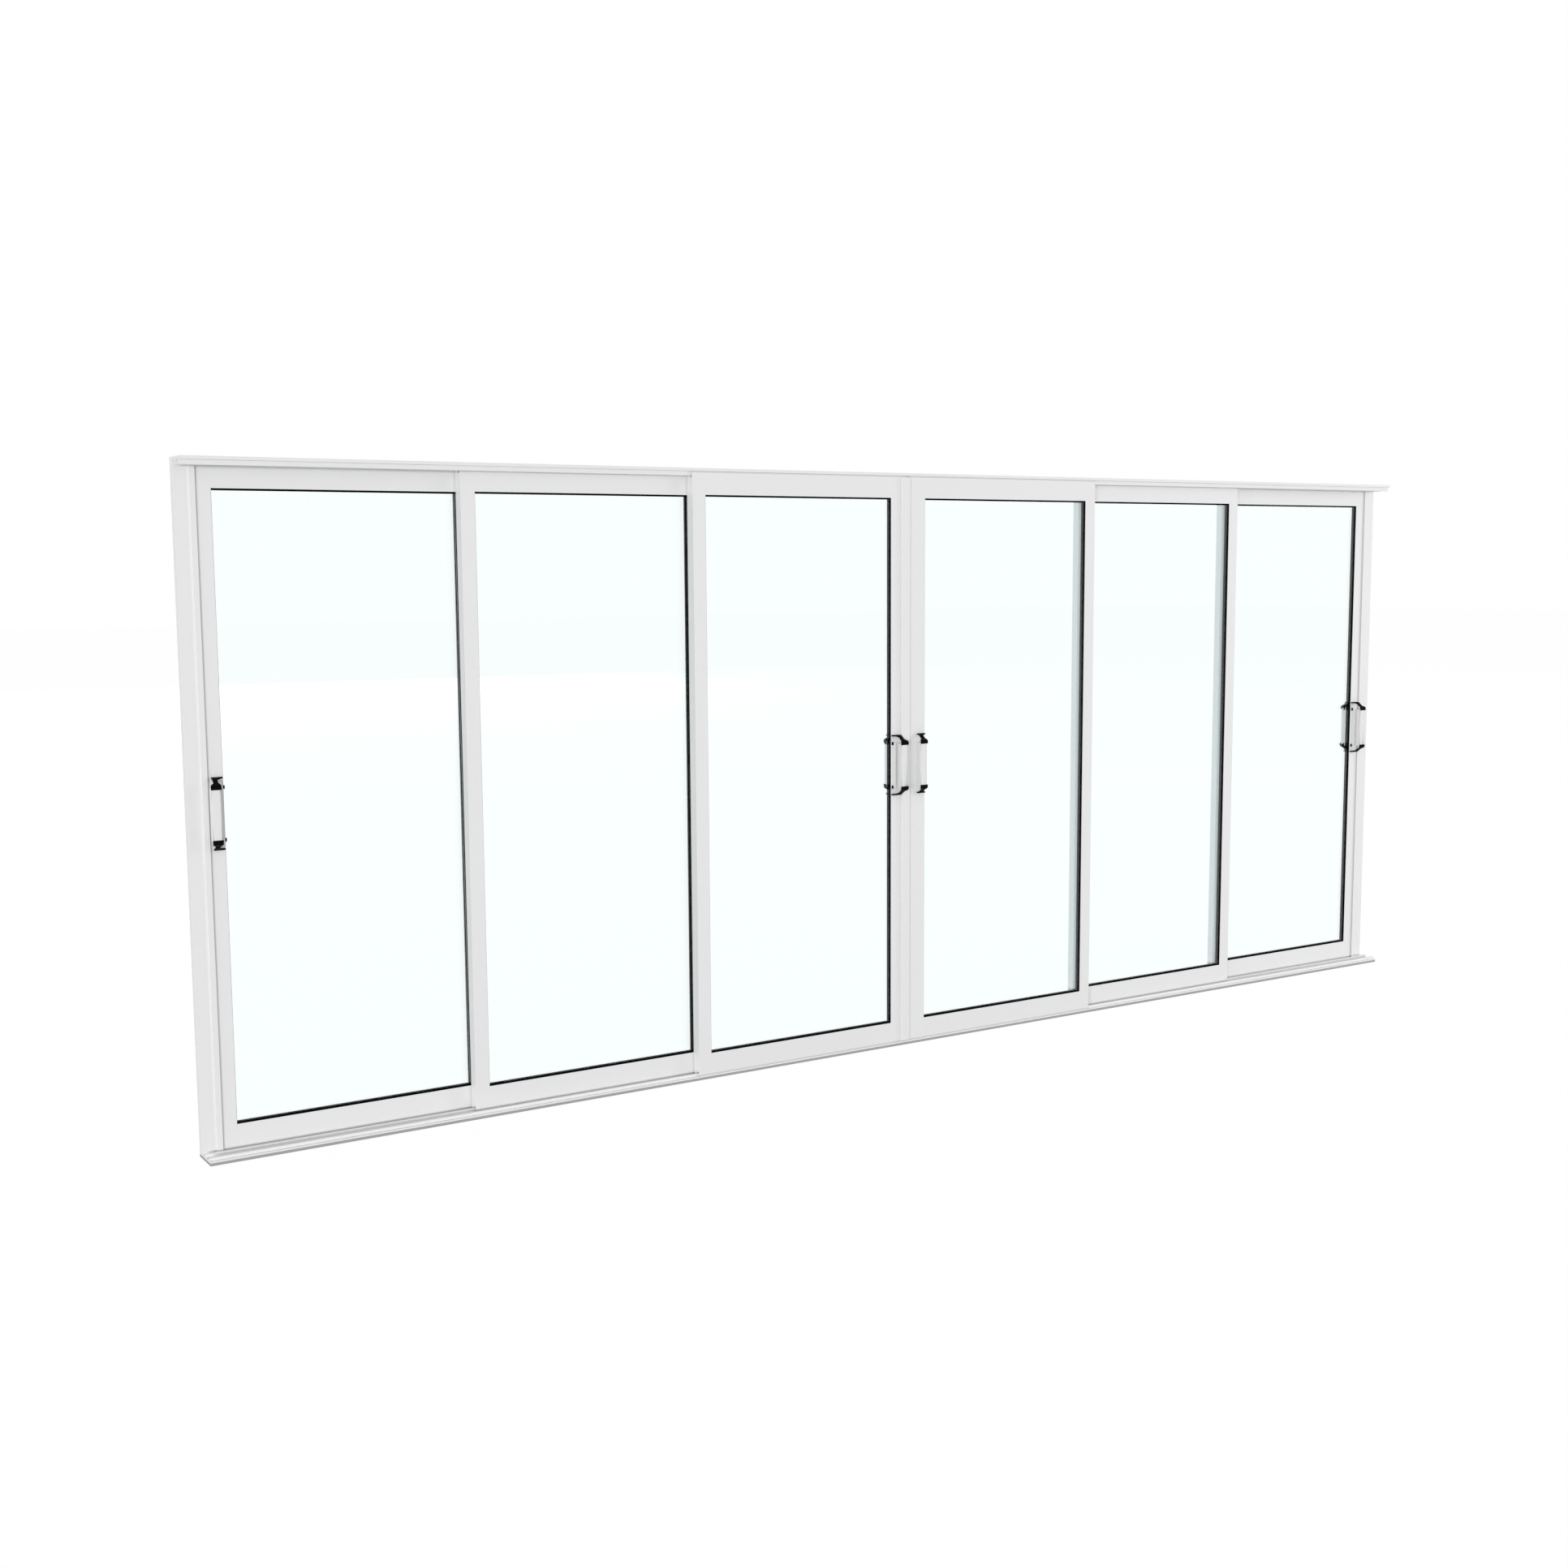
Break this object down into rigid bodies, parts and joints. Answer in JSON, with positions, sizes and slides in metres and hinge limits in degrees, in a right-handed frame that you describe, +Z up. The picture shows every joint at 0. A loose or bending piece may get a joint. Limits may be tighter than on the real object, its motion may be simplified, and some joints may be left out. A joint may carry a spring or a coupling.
{
  "type": "sliding patio door",
  "caption": "Wide glass sliding patio door in a slim white frame; framed leaves stack sideways on parallel tracks and have D-shaped pulls on both faces.",
  "frame": {"origin": "centre of the underside of the sill and its seal strip, midway across the width and the depth", "axes": "+X along the width, -Y towards the side with the front track, +Z up"},
  "size_m": [6, 0.234, 2.444],
  "materials": {
    "frame_white": "satin",
    "clear_glass": "clear",
    "black_gasket": "matte",
    "roller_grey": "matte",
    "pull_white": "satin",
    "seal_grey": "matte",
    "bracket_black": "gloss"
  },
  "bodies": {
    "frame": {"head": "frame_white", "sill": "frame_white", "sill_seal": "seal_grey", "left_jamb": "frame_white", "right_jamb": "frame_white"},
    "leaf_1": {"leaf_1_stiles": "frame_white", "leaf_1_rails": "frame_white", "leaf_1_glass": "clear_glass", "leaf_1_gasket": "black_gasket", "leaf_1_rollers": "roller_grey", "leaf_1_pull_bars": "pull_white", "leaf_1_pull_brackets": "bracket_black"},
    "leaf_2": {"leaf_2_stiles": "frame_white", "leaf_2_rails": "frame_white", "leaf_2_glass": "clear_glass", "leaf_2_gasket": "black_gasket", "leaf_2_rollers": "roller_grey"},
    "leaf_3": {"leaf_3_stiles": "frame_white", "leaf_3_rails": "frame_white", "leaf_3_glass": "clear_glass", "leaf_3_gasket": "black_gasket", "leaf_3_rollers": "roller_grey", "leaf_3_pull_bars": "pull_white", "leaf_3_pull_brackets": "bracket_black"},
    "leaf_4": {"leaf_4_stiles": "frame_white", "leaf_4_rails": "frame_white", "leaf_4_glass": "clear_glass", "leaf_4_gasket": "black_gasket", "leaf_4_rollers": "roller_grey", "leaf_4_pull_bars": "pull_white", "leaf_4_pull_brackets": "bracket_black", "leaf_4_cover_strip": "frame_white"},
    "leaf_5": {"leaf_5_stiles": "frame_white", "leaf_5_rails": "frame_white", "leaf_5_glass": "clear_glass", "leaf_5_gasket": "black_gasket", "leaf_5_rollers": "roller_grey"},
    "leaf_6": {"leaf_6_stiles": "frame_white", "leaf_6_rails": "frame_white", "leaf_6_glass": "clear_glass", "leaf_6_gasket": "black_gasket", "leaf_6_rollers": "roller_grey", "leaf_6_pull_bars": "pull_white", "leaf_6_pull_brackets": "bracket_black"}
  },
  "joints": [
    {"name": "leaf_1_slide", "type": "slide", "parent": "frame", "child": "leaf_1", "axis": [1, 0, 0], "range_m": [0, 0.88]},
    {"name": "leaf_2_slide", "type": "slide", "parent": "frame", "child": "leaf_2", "axis": [1, 0, 0], "range_m": [-0.88, 0]},
    {"name": "leaf_3_slide", "type": "slide", "parent": "leaf_2", "child": "leaf_3", "axis": [1, 0, 0], "range_m": [-0.88, 0]},
    {"name": "leaf_5_slide", "type": "slide", "parent": "frame", "child": "leaf_5", "axis": [1, 0, 0], "range_m": [0, 0.88]},
    {"name": "leaf_4_slide", "type": "slide", "parent": "leaf_5", "child": "leaf_4", "axis": [1, 0, 0], "range_m": [0, 0.88]},
    {"name": "leaf_6_slide", "type": "slide", "parent": "frame", "child": "leaf_6", "axis": [1, 0, 0], "range_m": [-0.88, 0]}
  ]
}
